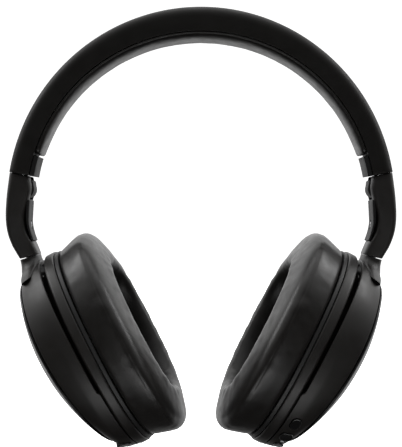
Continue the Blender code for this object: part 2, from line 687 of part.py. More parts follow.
def main():
    clear_scene()
    builder = Builder()
    build_headband(builder)
    build_end_sleeve(builder)
    build_slider_strip(builder)
    build_hinge_knuckle(builder)
    build_arm(builder)
    build_swivel_shaft(builder)
    for side in SIDES:
        build_outer_shell(builder, side)
    build_outer_cap(builder)
    build_tilt_pins(builder)
    build_electronics(builder)
    build_controls(builder)
    build_cup_housing(builder)
    build_driver(builder)
    build_ear_pad(builder)


main()
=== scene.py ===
"""The looks of the over-ear headphones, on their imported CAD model.

Places come from the record's mounts and joints and from the CAD nodes' boxes.  Lengths are in
millimetres until a mesh is made.  Each side part is modelled for the left side, and the right side
is its mirror image.
"""
import json
from math import atan2, cos, pi, radians, sin

import bmesh
import bpy
from mathutils import Matrix, Vector, noise


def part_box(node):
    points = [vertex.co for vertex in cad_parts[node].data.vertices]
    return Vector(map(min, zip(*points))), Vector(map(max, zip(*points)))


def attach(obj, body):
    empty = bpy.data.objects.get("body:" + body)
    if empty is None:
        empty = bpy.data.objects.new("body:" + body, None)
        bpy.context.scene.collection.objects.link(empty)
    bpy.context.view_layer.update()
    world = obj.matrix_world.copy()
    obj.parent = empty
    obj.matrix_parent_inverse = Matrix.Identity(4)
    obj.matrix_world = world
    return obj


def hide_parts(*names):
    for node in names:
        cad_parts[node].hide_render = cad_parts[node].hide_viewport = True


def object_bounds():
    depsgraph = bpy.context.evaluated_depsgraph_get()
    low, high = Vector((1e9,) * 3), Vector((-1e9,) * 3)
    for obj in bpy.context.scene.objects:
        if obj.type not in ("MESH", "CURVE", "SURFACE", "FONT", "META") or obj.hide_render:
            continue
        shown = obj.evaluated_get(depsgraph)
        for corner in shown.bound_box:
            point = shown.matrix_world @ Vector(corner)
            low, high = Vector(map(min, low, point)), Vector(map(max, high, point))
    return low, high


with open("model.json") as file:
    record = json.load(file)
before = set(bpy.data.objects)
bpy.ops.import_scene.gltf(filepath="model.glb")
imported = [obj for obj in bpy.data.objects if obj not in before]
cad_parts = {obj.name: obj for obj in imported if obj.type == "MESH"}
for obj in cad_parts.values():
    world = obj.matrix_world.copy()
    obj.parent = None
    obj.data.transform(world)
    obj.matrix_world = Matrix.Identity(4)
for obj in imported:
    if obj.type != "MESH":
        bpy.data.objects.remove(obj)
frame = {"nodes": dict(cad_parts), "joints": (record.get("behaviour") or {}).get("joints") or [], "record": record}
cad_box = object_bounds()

MM = 0.001
GAP = 0.3            # between two pieces that don't touch
WELD = 0.002         # points closer than this are one
SIDES = {"left": 1.0, "right": -1.0}
MOUNTS = {mount["name"]: mount for mount in frame["record"]["mounts"]}
JOINTS = {joint["name"]: joint for joint in frame["joints"]}


# ----------------------------------------------------------------------------------------- places

PAD_FACE, PAD_POINT = 17.2, 39.8     # where the pad's mount is in the cup's frame


def in_mm(values):
    return Vector(values) * 1000


def cup_frame():
    """The left cup's frame: x to the head, y to the back, z up along the cup."""
    face, tilt = MOUNTS["pad_face_left"], JOINTS["tilt_left"]
    x, y = Vector(face["axis"]).normalized(), Vector(tilt["axis"]).normalized()
    z = x.cross(y)
    origin = in_mm(face["pos_m"]) - PAD_FACE * x - PAD_POINT * z
    return Matrix.Translation(origin) @ Matrix((x, y, z)).transposed().to_4x4()


CUP = cup_frame()
FOLD_AXIS = in_mm(JOINTS["fold_left"]["pos_m"])
SLIDE_AXIS = Vector(JOINTS["size_slide_left"]["axis"])
TILT_Z = (CUP.inverted() @ in_mm(JOINTS["tilt_left"]["pos_m"])).z


# ----------------------------------------------------------------------------------- mesh helpers

def lerp(a, b, t):
    return tuple(p + (q - p) * t for p, q in zip(a, b))


def filleted(points, steps=4, closed=False):
    """Rounds the corners of a line of points; each point's last value is its corner's radius."""
    bare, radii = [point[:-1] for point in points], [point[-1] for point in points]
    count, out = len(points), []
    for i, (here, radius) in enumerate(zip(bare, radii)):
        if radius == 0 or (not closed and i in (0, count - 1)):
            out.append(here)
            continue
        near, far = bare[i - 1], bare[(i + 1) % count]
        ends = []
        for other in (near, far):
            length = sum((p - q) ** 2 for p, q in zip(here, other)) ** 0.5
            ends.append(lerp(here, other, min(radius / length, 0.48)))
        for k in range(steps + 1):
            t = k / steps
            out.append(lerp(lerp(ends[0], here, t), lerp(here, ends[1], t), t))
    return out


def smooth_path(points, steps):
    """A Catmull-Rom curve through tuples of numbers."""
    out = []
    for i in range(len(points) - 1):
        a, b = points[max(i - 1, 0)], points[i]
        c, d = points[i + 1], points[min(i + 2, len(points) - 1)]
        for k in range(steps):
            t = k / steps
            out.append(tuple(
                0.5 * (2 * q + (r - p) * t + (2 * p - 5 * q + 4 * r - s) * t ** 2
                       + (3 * q - p - 3 * r + s) * t ** 3)
                for p, q, r, s in zip(a, b, c, d)))
    return out + [points[-1]]


def skin(rings, closed=False):
    """Joins rings of points with quads; a closed skin has no ends, an open one has both capped."""
    bm = bmesh.new()
    loops = [[bm.verts.new(point) for point in ring] for ring in rings]
    pairs = list(zip(loops, loops[1:]))
    if closed:
        pairs.append((loops[-1], loops[0]))
    else:
        bm.faces.new(loops[0])
        bm.faces.new(loops[-1])
    for near, far in pairs:
        for i in range(len(near)):
            j = (i + 1) % len(near)
            bm.faces.new((near[i], near[j], far[j], far[i]))
    bmesh.ops.recalc_face_normals(bm, faces=bm.faces)
    return bm


def prism(outline, axis, low, high):
    """The outline, drawn out along an axis from low to high."""
    order = {"X": lambda a, b, d: (d, a, b), "Y": lambda a, b, d: (a, d, b),
             "Z": lambda a, b, d: (a, b, d)}[axis]
    return skin([[Vector(order(a, b, d)) for a, b in outline] for d in (low, high)])


def circle(radius, points=40):
    turns = [2 * pi * (i + 0.5) / points for i in range(points)]
    return [(radius * cos(a), radius * sin(a)) for a in turns]


def on_superellipse(a, b, power, angle):
    c, s = cos(angle), sin(angle)
    return (a * abs(c) ** (2 / power) * (1 if c > 0 else -1),
            b * abs(s) ** (2 / power) * (1 if s > 0 else -1))


def rounded(a, b, power, points):
    return [on_superellipse(a, b, power, 2 * pi * (i + 0.5) / points) for i in range(points)]


OVAL_POWER = 2.3
BOW_HEIGHT = 43.2    # a bowed oval's middle stands out from its ends, which are this far up and down
TURNS = [2 * pi * (i + 0.5) / 120 for i in range(120)]


def oval_point(station, angle):
    """A point on a cup oval, from its (depth, half height, half width, slant, bow)."""
    x, half_height, half_width, slant, bow = station
    z, y = on_superellipse(half_height, half_width, OVAL_POWER, angle)
    return Vector((x - slant * z - bow * (1 - (z / BOW_HEIGHT) ** 2), y, z))


def ovals(stations, closed=False, steps=4, slant=0.0):
    """A skin over ovals; each station is (depth, half height, half width, bow, corner radius)."""
    corners = [(x, high, wide, slant, bow, corner) for x, high, wide, bow, corner in stations]
    profile = filleted(corners, steps, closed)
    return skin([[oval_point(station, angle) for angle in TURNS] for station in profile], closed)


def move(bm, matrix):
    bmesh.ops.transform(bm, matrix=matrix, verts=bm.verts)
    return bm


def new_object(name, bm):
    mesh = bpy.data.meshes.new(name)
    bm.to_mesh(mesh)
    bm.free()
    thing = bpy.data.objects.new(name, mesh)
    bpy.context.collection.objects.link(thing)
    return thing


def drop(thing):
    mesh = thing.data
    bpy.data.objects.remove(thing)
    bpy.data.meshes.remove(mesh)


def evaluated_bmesh(thing):
    """The thing's mesh with its modifiers applied."""
    bpy.context.view_layer.update()
    evaluated = thing.evaluated_get(bpy.context.evaluated_depsgraph_get())
    bm = bmesh.new()
    bm.from_mesh(evaluated.to_mesh())
    evaluated.to_mesh_clear()
    return bm


def combine(base, tool, operation):
    target, cutter = new_object("target", base), new_object("cutter", tool)
    modifier = target.modifiers.new("combine", "BOOLEAN")
    modifier.object, modifier.operation, modifier.solver = cutter, operation, "EXACT"
    result = evaluated_bmesh(target)
    drop(target)
    drop(cutter)
    bmesh.ops.remove_doubles(result, verts=result.verts, dist=WELD)
    bmesh.ops.dissolve_degenerate(result, edges=result.edges, dist=WELD)
    return result


def together(meshes):
    """Separate closed meshes in one, to cut with them all at once."""
    whole = bmesh.new()
    for bm in meshes:
        thing = bpy.data.meshes.new("part")
        bm.to_mesh(thing)
        bm.free()
        whole.from_mesh(thing)
        bpy.data.meshes.remove(thing)
    return whole


def cut(base, tool):
    return combine(base, tool, "DIFFERENCE")


def join(base, tool):
    return combine(base, tool, "UNION")


def softened(bm, width, segments=2, angle=35):
    """The mesh with its sharp edges bevelled."""
    thing = new_object("softened", bm)
    modifier = thing.modifiers.new("bevel", "BEVEL")
    modifier.width, modifier.segments = width, segments
    modifier.limit_method, modifier.angle_limit = "ANGLE", radians(angle)
    result = evaluated_bmesh(thing)
    drop(thing)
    return result


# -------------------------------------------------------------------------------------- materials

def link(material, source, output, target, socket):
    material.node_tree.links.new(source.outputs[output], target.inputs[socket])


def node(material, kind, **values):
    """A new node; values with a capital name its sockets, the others are its settings."""
    made = material.node_tree.nodes.new(kind)
    for key, value in values.items():
        if key[0].isupper():
            made.inputs[key.replace("_", " ")].default_value = value
        else:
            setattr(made, key, value)
    return made


def ramp(material, stops):
    """A colour ramp; each stop is (place, colour)."""
    made = node(material, "ShaderNodeValToRGB")
    elements = made.color_ramp.elements
    while len(elements) < len(stops):
        elements.new(0.5)
    for element, (place, colour) in zip(elements, stops):
        element.position, element.color = place, (*colour, 1.0)
    return made


TEXTURES = {
    "cells": ("ShaderNodeTexVoronoi", {"feature": "DISTANCE_TO_EDGE"}, "Distance"),
    "weave": ("ShaderNodeTexVoronoi", {"feature": "F1", "Randomness": 0.15}, "Distance"),
    "noise": ("ShaderNodeTexNoise", {"Detail": 4.0}, "Fac"),
}


def make_material(name, dark, light, rough, textures, blotch=45.0, edge=0.0, **sockets):
    """A procedural finish: blotched colour, uneven roughness, and a bump for each texture.

    textures are (kind, scale per metre, height in metres, strength, stretch); edge is the radius that
    rounds the shading of sharp edges; sockets are constant values on the shader.
    """
    material = bpy.data.materials.new(name)
    material.use_nodes = True
    shader = material.node_tree.nodes["Principled BSDF"]
    for key, value in sockets.items():
        shader.inputs[key.replace("_", " ")].default_value = value
    place = node(material, "ShaderNodeTexCoord")
    stain = node(material, "ShaderNodeTexNoise", Scale=blotch, Detail=6.0, Roughness=0.6)
    link(material, place, "Object", stain, "Vector")
    colours = ramp(material, ((0.32, dark), (0.72, light)))
    link(material, stain, "Fac", colours, "Fac")
    link(material, colours, "Color", shader, "Base Color")
    smudge = node(material, "ShaderNodeTexNoise", Scale=blotch * 3.1, Detail=8.0, Roughness=0.65)
    link(material, place, "Object", smudge, "Vector")
    spread = node(material, "ShaderNodeMapRange")
    for socket, value in zip(("From Min", "From Max", "To Min", "To Max"), (0.3, 0.7, *rough)):
        spread.inputs[socket].default_value = value
    link(material, smudge, "Fac", spread, "Value")
    link(material, spread, "Result", shader, "Roughness")
    below = None
    if edge:
        below = node(material, "ShaderNodeBevel", samples=4, Radius=edge)
    for kind, scale, height, strength, stretch in textures:
        mapping = node(material, "ShaderNodeMapping", Scale=stretch)
        link(material, place, "Object", mapping, "Vector")
        shape, settings, output = TEXTURES[kind]
        texture = node(material, shape, Scale=scale, **settings)
        link(material, mapping, "Vector", texture, "Vector")
        bump = node(material, "ShaderNodeBump", Strength=strength, Distance=height)
        link(material, texture, output, bump, "Height")
        if below:
            link(material, below, "Normal", bump, "Normal")
        below = bump
    if below:
        link(material, below, "Normal", shader, "Normal")
    return material


EVEN = (1.0, 1.0, 1.0)
FINISHES = {
    "shell_plastic": dict(
        dark=(0.0062, 0.0052, 0.0044), light=(0.0105, 0.0090, 0.0078), rough=(0.38, 0.50), edge=0.0005,
        textures=(("noise", 2600.0, 0.00003, 0.35, EVEN), ("noise", 420.0, 0.00004, 0.10, EVEN)),
        Specular_IOR_Level=0.5),
    "band_plastic": dict(
        dark=(0.0042, 0.0036, 0.0029), light=(0.0068, 0.0060, 0.0050), rough=(0.42, 0.56), edge=0.0004,
        textures=(("noise", 2400.0, 0.00004, 0.40, EVEN), ("noise", 380.0, 0.00004, 0.12, EVEN)),
        Specular_IOR_Level=0.27),
    "cap_plastic": dict(
        dark=(0.0045, 0.0045, 0.0045), light=(0.0070, 0.0068, 0.0067), rough=(0.26, 0.36), edge=0.0004,
        textures=(("noise", 3200.0, 0.00002, 0.20, EVEN),), Specular_IOR_Level=0.5),
    "gloss_plastic": dict(
        dark=(0.0040, 0.0040, 0.0042), light=(0.0065, 0.0065, 0.0068), rough=(0.12, 0.22), edge=0.0003,
        textures=(("noise", 1500.0, 0.00001, 0.15, EVEN),), Specular_IOR_Level=0.5, Coat_Weight=0.4,
        Coat_Roughness=0.08),
    "leatherette": dict(
        dark=(0.0056, 0.0047, 0.0040), light=(0.0098, 0.0085, 0.0074), rough=(0.30, 0.44), blotch=70.0,
        textures=(("cells", 1150.0, 0.00006, 0.30, EVEN), ("noise", 330.0, 0.00020, 0.16, (1.0, 1.0, 0.55)),
                  ("noise", 2400.0, 0.00003, 0.25, EVEN)),
        Specular_IOR_Level=0.45, Sheen_Weight=0.06, Sheen_Roughness=0.5),
    "dark_plastic": dict(
        dark=(0.0040, 0.0040, 0.0040), light=(0.0075, 0.0073, 0.0072), rough=(0.50, 0.64), edge=0.0003,
        textures=(("noise", 2200.0, 0.00004, 0.40, EVEN), ("noise", 300.0, 0.00004, 0.10, EVEN)),
        Specular_IOR_Level=0.25),
    "inner_plastic": dict(
        dark=(0.0080, 0.0078, 0.0078), light=(0.0140, 0.0135, 0.0135), rough=(0.42, 0.58), edge=0.0003,
        textures=(("noise", 1800.0, 0.00004, 0.40, EVEN),)),
    "scrim_cloth": dict(
        dark=(0.0030, 0.0030, 0.0030), light=(0.0120, 0.0118, 0.0115), rough=(0.75, 0.95), blotch=900.0,
        textures=(("weave", 1300.0, 0.00025, 0.9, EVEN),), Sheen_Weight=0.15, Sheen_Roughness=0.4),
    "steel": dict(
        dark=(0.30, 0.30, 0.31), light=(0.46, 0.46, 0.47), rough=(0.22, 0.36), edge=0.0002, blotch=120.0,
        textures=(("noise", 1400.0, 0.00002, 0.35, (0.08, 1.0, 1.0)),), Metallic=1.0, Anisotropic=0.4),
    "circuit_board": dict(
        dark=(0.004, 0.045, 0.018), light=(0.012, 0.095, 0.040), rough=(0.30, 0.45), blotch=260.0,
        textures=(("weave", 420.0, 0.00008, 0.5, EVEN),)),
    "battery_foil": dict(
        dark=(0.36, 0.37, 0.39), light=(0.50, 0.51, 0.53), rough=(0.26, 0.42), blotch=90.0,
        textures=(("noise", 240.0, 0.00020, 0.30, EVEN),), Metallic=0.7),
    "diaphragm_film": dict(
        dark=(0.070, 0.066, 0.062), light=(0.115, 0.108, 0.10), rough=(0.25, 0.38),
        textures=(("noise", 500.0, 0.00006, 0.30, (1.0, 0.2, 1.0)),)),
    "light_pipe": dict(
        dark=(0.60, 0.63, 0.66), light=(0.76, 0.78, 0.80), rough=(0.20, 0.32), blotch=600.0,
        textures=(("noise", 2200.0, 0.00002, 0.30, EVEN),)),
}
LOOKS = {name: make_material(name + "_finish", **values) for name, values in FINISHES.items()}


# ----------------------------------------------------------------------------------------- pieces

def place_piece(name, bm, body, look, replaces, sharp):
    """Makes the object, in metres, puts it on the body it rides on and hides the nodes it replaces."""
    thing = new_object(name, bm)
    thing.data.materials.append(LOOKS[look])
    thing.data.shade_smooth()
    thing.data.set_sharp_from_angle(angle=radians(sharp))
    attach(thing, body)
    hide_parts(*replaces)
    return thing


def add(name, bm, body, look, replaces, sides=tuple(SIDES), sharp=40.0):
    """Adds a left-side mesh, in millimetres, and its mirror image; body and nodes get the side's name."""
    for side in sides:
        copy = bm.copy()
        move(copy, Matrix.Diagonal((SIDES[side] * MM, MM, MM, 1.0)))
        if side == "right":
            bmesh.ops.reverse_faces(copy, faces=copy.faces)
        nodes = [node_name.format(side) for node_name in replaces]
        place_piece(f"{name}_{side}", copy, body.format(side), look, nodes, sharp)
    bm.free()


def add_middle(name, bm, look, replaces, sharp=40.0):
    """Adds a mesh, in millimetres, that lies across both sides."""
    place_piece(name, move(bm, Matrix.Scale(MM, 4)), "headband", look, replaces, sharp)


CLOTH_SCALE, CLOTH_PRESSURE, CLOTH_FRAMES, CLOTH_EVENING = 0.01, 4.0, 20, 4


def puffed(bm, pinned, limit):
    """Blows a closed mesh up as cloth; pinned(point) holds a point, and limit caps the move in mm."""
    points = [vert.co.copy() for vert in bm.verts]
    held = [vert.index for vert in bm.verts if pinned(vert.co)]
    thing = new_object("puffed", move(bm, Matrix.Scale(CLOTH_SCALE, 4)))
    thing.vertex_groups.new(name="held").add(held, 1.0, "ADD")
    cloth = thing.modifiers.new("cloth", "CLOTH")
    settings = cloth.settings
    settings.vertex_group_mass = "held"
    settings.use_pressure, settings.uniform_pressure_force = True, CLOTH_PRESSURE
    settings.tension_stiffness = settings.compression_stiffness = 12.0
    settings.bending_stiffness, settings.quality = 1.5, 6
    settings.effector_weights.gravity = 0.0
    cloth.collision_settings.use_collision = False
    scene = bpy.context.scene
    scene.frame_start, scene.frame_end = 1, CLOTH_FRAMES
    for step in range(1, CLOTH_FRAMES + 1):
        scene.frame_set(step)
    result = evaluated_bmesh(thing)
    drop(thing)
    scene.frame_set(1)
    result.verts.ensure_lookup_table()
    shifts = []
    for vert, start in zip(result.verts, points):
        shift = vert.co / CLOTH_SCALE - start
        shifts.append(shift.normalized() * min(shift.length, limit))
    for _ in range(CLOTH_EVENING):      # evens out the swelling from each point to the next
        evened = []
        for vert in result.verts:
            beside = [shifts[edge.other_vert(vert).index] for edge in vert.link_edges]
            evened.append((shifts[vert.index] + sum(beside, Vector())) / (1 + len(beside)))
        shifts = evened
    for vert, start, shift in zip(result.verts, points, shifts):
        vert.co = start + shift
    return result


def subdivided(bm):
    thing = new_object("subdivided", bm)
    modifier = thing.modifiers.new("subdivision", "SUBSURF")
    modifier.levels = modifier.render_levels = 1
    result = evaluated_bmesh(thing)
    drop(thing)
    return result


def crease(bm, depth_at, scale, seed):
    """Moves points along their normals by smooth noise, as deep as depth_at(point) says, in mm."""
    bm.normal_update()
    moves = []
    for vert in bm.verts:
        depth = depth_at(vert.co)
        if depth:
            where = Vector([c * s for c, s in zip(vert.co, scale)]) + Vector((seed, 0.0, 0.0))
            moves.append((vert, vert.normal * depth * noise.fractal(where, 1.0, 2.0, 3)))
    for vert, shift in moves:
        vert.co += shift
    return bm


# --------------------------------------------------------------------------------------- headband

# Each pair is a measure at the top of the arch and how much more it is a quarter turn further on
INNER_RADIUS, OUTER_RADIUS = (76.7, 0.3), (91.0, -1.4)
CUSHION_DEPTH, BAND_HALF_WIDTH = (2.8, 0.3), (17.0, -2.5)
SHELL_WALL, SHELL_END, CUSHION_END = 2.2, 80.3, 73.0     # the ends are in degrees from the top
REST_RADIUS, HELD_RADIUS = 75.4, 78.4                     # the mount's, and where the cushion is held
BAND_CENTRE_Z = in_mm(MOUNTS["headband_rest"]["pos_m"]).z - REST_RADIUS


def along(pair, angle):
    return pair[0] + pair[1] * sin(angle) ** 2


def edge_radius(angle):
    return along(INNER_RADIUS, angle) + along(CUSHION_DEPTH, angle)


def band_ring(angle, section):
    return [Vector((-r * sin(angle), y, BAND_CENTRE_Z + r * cos(angle))) for r, y in section]


def band_sweep(section_at, start, end, steps):
    angles = [radians(start + (end - start) * i / steps) for i in range(steps + 1)]
    return skin([band_ring(angle, section_at(angle)) for angle in angles])


def both_edges(side):
    """One edge of a section and its mirror image, with each point's corner radius last."""
    return side + [(r, -y, radius) for r, y, radius in reversed(side)]


def shell_section(angle):
    edge, outer, half = edge_radius(angle), along(OUTER_RADIUS, angle), along(BAND_HALF_WIDTH, angle)
    outside = both_edges([(edge, -half, 0.25), (outer, -half, 4.6)])
    narrow = half - SHELL_WALL
    inside = both_edges([(edge, narrow, 0.3), (outer - SHELL_WALL, narrow, 3.0)])
    return filleted(outside + inside, steps=6, closed=True)


def cushion_section(angle):
    inner, edge = along(INNER_RADIUS, angle), edge_radius(angle) - GAP
    half = along(BAND_HALF_WIDTH, angle)
    side = [(edge, 0.5 - half, 0.2), (edge - 0.8, 0.2 - half, 0.6), (inner + 0.5, 1.0 - half, 2.2),
            (inner, 8.0 - half, 6.0)]
    return filleted(both_edges(side), steps=4, closed=True)


def cushion_held(point):
    return Vector((point.x, point.z - BAND_CENTRE_Z)).length > HELD_RADIUS


def cushion_depth(point):
    """How deep the cushion's creases are: deeper along its two edges."""
    return 0.10 if abs(point.y) > 11.0 else 0.05


def add_headband():
    shell = softened(band_sweep(shell_section, -SHELL_END, SHELL_END, 150), 0.35, angle=60)
    add_middle("band_shell", shell, "band_plastic", ("headband_shell",))
    cushion = band_sweep(cushion_section, -CUSHION_END, CUSHION_END, 96)
    cushion = crease(subdivided(puffed(cushion, cushion_held, 0.5)), cushion_depth, (0.35, 0.16, 0.35), 3.1)
    add_middle("band_cushion", cushion, "leatherette", ("headband_cushion",), sharp=60.0)


# The end sleeve's sections, by degrees from the top: a tongue in the shell, a lip, then the full sleeve
SLEEVE_STOPS = ((62.0, "inside"), (73.3, "inside"), (73.4, "lip"), (73.5, "full"), (73.8, "full"))


def sleeve_section(angle, stage):
    edge, outer = edge_radius(angle), along(OUTER_RADIUS, angle) - SHELL_WALL - 2 * GAP
    half = along(BAND_HALF_WIDTH, angle)
    narrow = half - SHELL_WALL - GAP
    low, step, wide = {
        "inside": (edge, edge + 0.15, narrow),
        "lip": (edge - GAP - 0.15, edge - GAP, narrow),
        "full": (along(INNER_RADIUS, angle) + 0.7, edge - GAP, half - 0.3),
    }[stage]
    corner = 1.1 if stage == "full" else 0.05
    side = [(low, -wide, corner), (step, -wide, 0.1), (step + 0.1, -narrow, 0.05), (outer, -narrow, 2.2)]
    return filleted(both_edges(side), steps=4, closed=True)


STRIP_MIDDLE = 15.8     # from where the strip enters the knuckle to the middle of its box
STRIP_SLOT = (1.2, 6.3, 12.0, 24)


def slide_frame():
    """The strip's frame: z up along the slide, with its origin where the strip enters the knuckle."""
    z = -SLIDE_AXIS
    y = Vector((0.0, 1.0, 0.0))
    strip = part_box("slider_strip_left")
    low, high = in_mm(strip[0]), in_mm(strip[1])
    middle = (low + high) / 2
    turned = Matrix((y.cross(z), y, z)).transposed().to_4x4()
    return Matrix.Translation(middle - z * STRIP_MIDDLE) @ turned


def add_sleeve():
    last = SLEEVE_STOPS[-1][0]
    stops = list(SLEEVE_STOPS) + [(last + (SHELL_END - last) * i / 8, "full") for i in range(1, 9)]
    sleeve = skin([band_ring(radians(a), sleeve_section(radians(a), stage)) for a, stage in stops])
    slot = prism(rounded(*STRIP_SLOT), "Z", -10.0, 50.0)
    sleeve = cut(sleeve, move(slot, slide_frame()))
    add("end_guide", softened(sleeve, 0.25, angle=50), "headband", "dark_plastic", ("end_sleeve_{}",))


# -------------------------------------------------------------------------------- knuckle and arm

BARREL_RADIUS, BARREL_HALF_WIDTH, FOLD_PIN_RADIUS = 4.5, 8.1, 1.25
# The arm from top to bottom: (x, z) of its outer and its inner edge, and its half width
ARM_OUTER = (
    (-88.4, -60.4), (-89.3, -66.9), (-89.9, -72.4), (-90.3, -79.0), (-90.1, -84.4), (-89.2, -89.3),
    (-87.35, -94.3), (-85.6, -97.4), (-83.8, -100.4),
)
ARM_INNER = (
    (-78.8, -62.3), (-77.9, -67.6), (-79.0, -72.9), (-80.7, -79.4), (-80.9, -84.0), (-79.8, -88.4),
    (-77.3, -92.5), (-75.9, -95.6), (-74.9, -98.2),
)
ARM_HALF_WIDTH = (12.6, 13.0, 12.8, 12.4, 11.9, 11.4, 10.95, 10.7, 10.4)
LINER_STATIONS = (      # outer x and z, inner x and z, half width
    (-80.6, -73.4, -78.7, -73.2, 11.6), (-80.9, -79.4, -79.0, -79.2, 11.6),
    (-80.6, -83.9, -79.1, -83.6, 11.2), (-79.5, -88.2, -78.3, -87.8, 10.8),
    (-78.0, -92.3, -76.9, -91.8, 10.4),
)
SCREW_PLACE = Vector((-80.0, 0.0, -84.6))
CLEVIS = 4.9


def loft(stations, power, points=44):
    """Rounded sections between each station's outer edge and inner edge."""
    rings = []
    for outer_x, outer_z, inner_x, inner_z, half_width in stations:
        outer, inner = Vector((outer_x, 0.0, outer_z)), Vector((inner_x, 0.0, inner_z))
        middle, reach = (outer + inner) / 2, (inner - outer) / 2
        section = rounded(1.0, half_width, power, points)
        rings.append([middle + reach * a + Vector((0.0, y, 0.0)) for a, y in section])
    return skin(rings)


def add_knuckle():
    turns = [radians(20 - 220 * i / 28) for i in range(29)]
    outline = [(FOLD_AXIS.x + BARREL_RADIUS * cos(a), FOLD_AXIS.z + BARREL_RADIUS * sin(a))
               for a in turns]
    outline += [(-85.4, -63.9), (-85.1, -63.3), (-78.2, -63.9), (-77.6, -64.4)]
    knuckle = softened(prism(outline, "Y", -BARREL_HALF_WIDTH, BARREL_HALF_WIDTH), 0.5, 3, angle=25)
    knuckle = cut(knuckle, move(prism(rounded(*STRIP_SLOT), "Z", -2.5, 9.0), slide_frame()))
    hole = move(prism(circle(FOLD_PIN_RADIUS + GAP), "Y", -12.0, 12.0), Matrix.Translation(FOLD_AXIS))
    add("knuckle", cut(knuckle, hole), "slider_{}", "dark_plastic", ("hinge_knuckle_{}",))


def add_arm():
    path = [(*outer, *inner, half) for outer, inner, half in zip(ARM_OUTER, ARM_INNER, ARM_HALF_WIDTH)]
    arm = softened(loft(smooth_path(path, 6), 6.0), 0.3, 3, angle=60)
    turns = [pi + (pi / 2) * i / 12 for i in range(13)]
    outline = [(FOLD_AXIS.x - CLEVIS, -55.0)]
    outline += [(FOLD_AXIS.x + CLEVIS * cos(a), FOLD_AXIS.z + CLEVIS * sin(a)) for a in turns]
    outline += [(-70.0, FOLD_AXIS.z - CLEVIS), (-70.0, -55.0)]
    arm = cut(arm, prism(outline, "Y", -BARREL_HALF_WIDTH - GAP, BARREL_HALF_WIDTH + GAP))
    bed = [(a - 0.25, b, c + 3.0, d, half + 0.25) for a, b, c, d, half in smooth_path(LINER_STATIONS, 6)]
    arm = cut(arm, loft(bed, 7.0))
    hole = prism(circle(FOLD_PIN_RADIUS + GAP), "Y", -11.6, 15.0)
    arm = cut(arm, move(hole, Matrix.Translation(FOLD_AXIS)))
    at_screw = Matrix.Translation(SCREW_PLACE)
    arm = cut(arm, move(prism(circle(1.1, 24), "X", -4.2, 3.0), at_screw))
    arm = cut(arm, move(prism(circle(2.7, 32), "Z", -6.0, 9.3), swivel_frame()))
    add("arm", arm, "arm_{}", "shell_plastic", ("arm_cover_{}",))

    liner = softened(loft(smooth_path(LINER_STATIONS, 6), 6.0), 0.3, 2, angle=60)
    recess = [(b, a) for a, b in rounded(2.3, 1.9, 2.6, 32)]
    liner = cut(liner, move(prism(recess, "X", 0.35, 4.0), at_screw))
    liner = cut(liner, move(prism(circle(1.1, 24), "X", -4.0, 6.0), at_screw))
    add("arm_inner", liner, "arm_{}", "dark_plastic", ("arm_liner_{}",))

    profile = filleted([(-3.6, 0.75, 0), (0.65, 0.75, 0.1), (0.65, 1.5, 0.1), (1.1, 1.5, 0.25),
                        (1.1, 0.4, 0)], 3)
    screw = skin([[Vector((x, a, b)) for a, b in circle(radius, 24)] for x, radius in profile])
    cross = join(*(prism(rounded(a, b, 9.0, 16), "X", 0.7, 1.4) for a, b in ((0.22, 1.0), (1.0, 0.22))))
    add("screw", move(cut(screw, cross), at_screw), "arm_{}", "steel", ("arm_screw_{}",))


def swivel_frame():
    joint = JOINTS["swivel_left"]
    z = Vector(joint["axis"]).normalized()
    y = Vector((0.0, 1.0, 0.0))
    return Matrix.Translation(in_mm(joint["pos_m"])) @ Matrix((y.cross(z), y, z)).transposed().to_4x4()


# ------------------------------------------------------------------------------------ outer shell

# From here on, the pieces are modelled in the cup's frame
CAP_SLANT, CAP_BOW = 0.062, 5.0
# The shell's edge, and how the slot cut into it above the hook gets deeper from bottom to top
SHELL_EDGE, HOOK_EDGE, SLOT_EDGE, HOOK_Z, SLOT_LENGTH, HOOK_LENGTH = -6.2, -7.2, -8.2, -18.8, 60.0, 1.5
NECK = (        # outer x and z, inner x and z, half width
    (-16.9, 52.5, -8.2, 50.9, 10.2), (-17.6, 49.8, -8.5, 49.3, 10.4), (-18.9, 46.5, -8.8, 47.6, 12.5),
    (-20.2, 43.6, -9.8, 46.0, 17.0), (-20.4, 41.4, -11.2, 43.0, 21.0),
)
SHELL_OVAL, SHELL_BEND = (48.0, 39.2), -12.0
CONTROL_X, CONTROL_OVAL, CONTROL_TAPER = -11.0, (47.5, 38.75), radians(13.0)
BUTTONS = {     # side, degrees round the oval, half length and half width
    "function_button": ("left", 20.0, 3.4, 2.0),
    "power_button": ("right", 36.0, 3.0, 3.0),
    "volume_up_button": ("right", 50.5, 2.2, 3.2),
    "volume_down_button": ("right", 21.0, 2.2, 2.6),
}
LIGHT_ANGLE, HOOK_TURN = 28.5, 109.9


